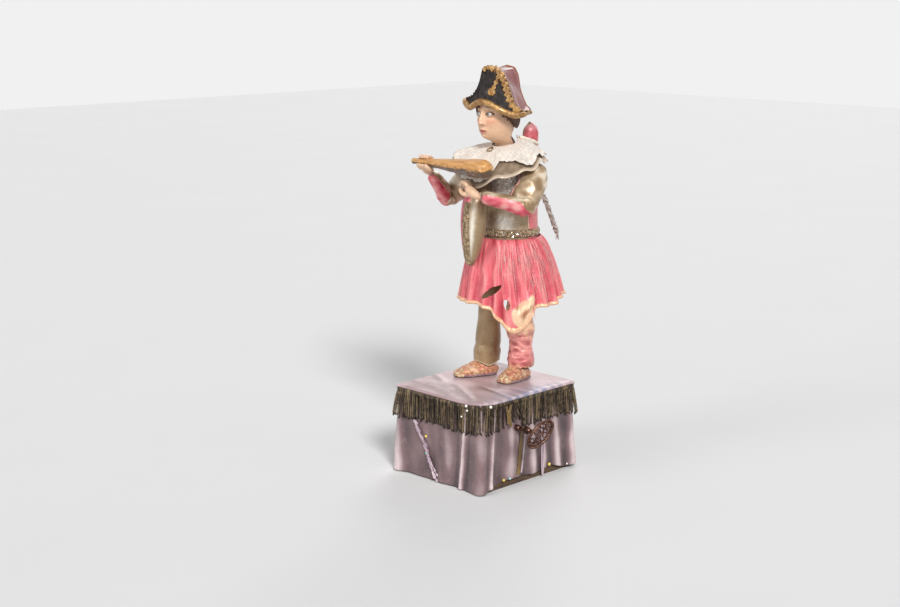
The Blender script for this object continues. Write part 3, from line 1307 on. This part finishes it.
def make_crank(side, rod_x, rod_y, pin_z, sign, sleeve_plane):
    plate_x = lever_plate_x(rod_x, sign)
    outline = bar_outline(SHOULDER_Y, SHOULDER_Z, 3.8 * MM, rod_y, pin_z, 2.4 * MM)
    crank = publish(f"{side}_arm_crank", prism(outline, plate_x, plate_x + LEVER_THICK), "steel",
                    (plate_x, SHOULDER_Y, SHOULDER_Z))
    near = plate_x + LEVER_THICK / 2
    far = sleeve_plane + sign * 11 * MM
    join(crank, shaft(f"{side} axle", min(near, far), max(near, far), SHOULDER_Y, SHOULDER_Z,
                      AXLE_RADIUS, "steel", 12))
    pin_between(crank, plate_x, sign, rod_x, rod_y, pin_z)


def hand_root(elbow, wrist, radius, length):
    """The first stations of a hand, straight out of the end of its sleeve."""
    ahead = (wrist - elbow).normalized()
    start = wrist + ahead * 1.2 * MM
    return (*start, radius), (*(start + ahead * length), radius * 1.08)


def make_fist(elbow, wrist):
    """Four fingers round the club, in one carving with the heel of the hand."""
    low = FIST_X - FIST_LENGTH / 2
    rings = []
    steps = 8
    bore = club_radius(FIST_X) + 0.9 * MM
    for k in range(steps + 1):
        share = k / steps
        swell = 5.0 + 1.0 * abs(math.sin(4 * math.pi * share)) - 1.6 * (2 * share - 1) ** 4
        rings.append([Vector((low + FIST_LENGTH * share, CLUB_Y + (bore + swell * MM) * math.cos(a),
                              CLUB_Z + (bore + swell * MM) * math.sin(a)))
                      for a in (TURN * i / 12 for i in range(12))])
    fist = publish("right_hand", loft(rings), "composition", sharp=50)
    stations = (*hand_root(elbow, wrist, 7.4 * MM, 7 * MM),
                (FIST_X, CLUB_Y + 5 * MM, CLUB_Z - 4 * MM, 9 * MM))
    join(fist, publish("right palm", sweep(stations, 10, 2), "composition"))
    bore_x(fist, low - 10 * MM, low + FIST_LENGTH + 10 * MM, CLUB_Y, CLUB_Z, bore, 12)


def make_left_hand(elbow, wrist):
    palm = wrist + Vector((-12 * MM, -9 * MM, 7 * MM))
    knuckle = palm + Vector((-10 * MM, 0, 6.5 * MM))
    tip = knuckle + Vector((-11 * MM, 2 * MM, 4.5 * MM))
    stations = (*hand_root(elbow, wrist, 6.8 * MM, 6 * MM), (*palm, 8.6 * MM),
                (*knuckle, 7 * MM), (*tip, 3 * MM))
    hand = publish("left_hand", sweep(stations, 9, 2, 0.8), "composition", sharp=60)
    thumb = [(*(palm + Vector((x * MM, y * MM, z * MM))), radius * MM) for x, y, z, radius in
             ((-2, 1, -4, 4), (-11, -3, -4, 3.2), (-20, -1, 2, 2.6))]
    join(hand, publish("left thumb", sweep(thumb, 8, 2), "composition"))


CLUB_PROFILE = ((0.0, 2.5), (0.02, 4.6), (0.06, 4.4), (0.10, 5.6), (0.2, 6.2), (0.35, 7.6),
                (0.5, 9.6), (0.68, 12.2), (0.84, 14.2), (0.95, 13.6), (1.0, 8.0))


def club_radius(x):
    share = (x - CLUB_TIP) / (CLUB_END - CLUB_TIP)
    for low, high in zip(CLUB_PROFILE, CLUB_PROFILE[1:]):
        if low[0] <= share <= high[0]:
            part = (share - low[0]) / (high[0] - low[0])
            return (low[1] + (high[1] - low[1]) * part) * MM
    return CLUB_PROFILE[-1][1] * MM


def make_club():
    rings = []
    for share, radius in CLUB_PROFILE:
        x = CLUB_TIP + (CLUB_END - CLUB_TIP) * share
        rings.append([Vector((x, CLUB_Y + radius * MM * math.cos(a), CLUB_Z + radius * MM * math.sin(a)))
                      for a in (TURN * i / 14 for i in range(14))])
    publish("club", loft(rings), "club_wood")


def make_trim_cord():
    """A short crimped cord that hangs from under the hump."""
    across = 25 * MM - BODY_X
    ring = body_ring(CORD_TOP, 0, 96)
    seat = min(ring, key=lambda point: (point.x - BODY_X - across) ** 2 + (point.y < BODY_Y))
    out = Vector((seat.x - BODY_X, seat.y - BODY_Y, 0)).normalized()
    route = (seat + out * 1.5 * MM, seat + out * 6 * MM, Vector((30 * MM, 100 * MM, 430 * MM)),
             Vector((30 * MM, 112 * MM, 408 * MM)), Vector((30 * MM, 124 * MM, 385 * MM)),
             Vector((31 * MM, 132 * MM, 368 * MM)))
    curve = bpy.data.curves.new("trim_cord", 'CURVE')
    curve.dimensions = '3D'
    curve.bevel_depth = CORD_RADIUS
    curve.bevel_resolution = 2
    curve.use_fill_caps = True
    points = smooth_path(route, 3)
    line = curve.splines.new('POLY')
    line.points.add(len(points) - 1)
    for spot, place in zip(line.points, points):
        spot.co = (*place, 1)
    curve.materials.append(finish("trim_cord", *COLOURS["crimped_cord"]))
    cord = bpy.data.objects.new("trim_cord", curve)
    bpy.context.scene.collection.objects.link(cord)


# Assembly

for old in list(bpy.data.objects):
    bpy.data.objects.remove(old)

side_board = make_case()
make_drape()
make_cover()
make_fringe()
make_plates()
make_barrel()
make_arbor_and_key()
make_train()
make_cam_shaft()
make_levers()
make_rods()
make_music()
make_stop_lever(side_board)
make_leg("right", RIGHT_LEG, Vector((-4 * MM, -2 * MM, 0)), Vector((2 * MM, 4 * MM, 0)), 3)
make_leg("left", LEFT_LEG, Vector((3 * MM, -2 * MM, 0)), Vector((1 * MM, -4 * MM, 0)), 7)
make_shoe("right", RIGHT_LEG, Vector((-57 * MM, -14 * MM, 0)), Vector((-29 * MM, 57 * MM, 0)))
make_shoe("left", LEFT_LEG, Vector((27 * MM, 6 * MM, 0)), Vector((18 * MM, 76 * MM, 0)))
make_torso()
make_belly_pad()
make_back_pad()
make_waist_band()
make_skirt()
make_collar("cape_collar", "gold_satin", CAPE_RADIUS, True)
make_collar("lace_collar", "lace", LACE_RADIUS, False)
make_head()
make_neck_axle()
make_wig()
make_hat()
RIGHT_PLANE = BODY_X - 42 * MM
LEFT_PLANE = BODY_X + 42 * MM
RIGHT_SHOULDER = Vector((-58 * MM, SHOULDER_Y - 2 * MM, SHOULDER_Z - MM))
RIGHT_ELBOW = RIGHT_SHOULDER + Vector((-29 * MM, -46 * MM, -44 * MM))
RIGHT_WRIST = RIGHT_ELBOW + Vector((4 * MM, -41 * MM, 41 * MM))
LEFT_SHOULDER = Vector((56 * MM, SHOULDER_Y - 2 * MM, SHOULDER_Z - MM))
LEFT_ELBOW = LEFT_SHOULDER + Vector((11 * MM, -32 * MM, -45 * MM))
LEFT_WRIST = LEFT_ELBOW + Vector((-36 * MM, -61 * MM, 17 * MM))
make_arm("right", RIGHT_PLANE, RIGHT_SHOULDER, RIGHT_ELBOW, RIGHT_WRIST, 0)
make_arm("left", LEFT_PLANE, LEFT_SHOULDER, LEFT_ELBOW, LEFT_WRIST, 2.5 * MM)
make_crank("right", RIGHT_ROD_X, RIGHT_ROD_Y, RIGHT_CRANK_Z, -1, RIGHT_PLANE)
make_crank("left", LEFT_ROD_X, BACK_ROD_Y, SHOULDER_Z, 1, LEFT_PLANE)
make_fist(RIGHT_ELBOW, RIGHT_WRIST)
make_left_hand(LEFT_ELBOW, LEFT_WRIST)
make_club()
make_trim_cord()
